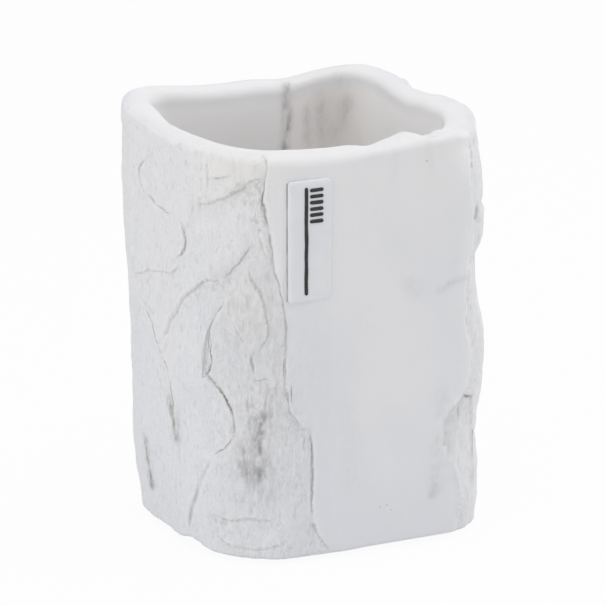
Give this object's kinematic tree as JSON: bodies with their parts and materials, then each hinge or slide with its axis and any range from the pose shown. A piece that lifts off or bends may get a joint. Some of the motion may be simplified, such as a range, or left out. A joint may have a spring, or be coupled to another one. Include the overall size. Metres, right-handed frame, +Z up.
{
  "type": "bathroom tumbler",
  "caption": "Open cast resin tumbler with a rounded squarish plan, bark-like carved sides, a smooth front with a small plaque, a wavy rim and stick-on feet.",
  "frame": {"origin": "on the floor under the middle of the tumbler's bounding box", "axes": "+Z up, -Y out of the smooth front face, +X to the right as seen from the front"},
  "size_m": [0.077, 0.0634, 0.104],
  "materials": {
    "cast_resin": "satin",
    "plaque": "satin",
    "adhesive": "matte",
    "black_paint": "satin",
    "foot_rubber": "matte"
  },
  "bodies": {
    "root": {"tumbler_body": "cast_resin", "label_plaque": "plaque", "label_adhesive": "adhesive", "label_motif": "black_paint", "foot_front_left": "foot_rubber", "foot_front_right": "foot_rubber", "foot_back_left": "foot_rubber", "foot_back_right": "foot_rubber", "foot_adhesive_front_left": "adhesive", "foot_adhesive_front_right": "adhesive", "foot_adhesive_back_left": "adhesive", "foot_adhesive_back_right": "adhesive"}
  },
  "joints": []
}
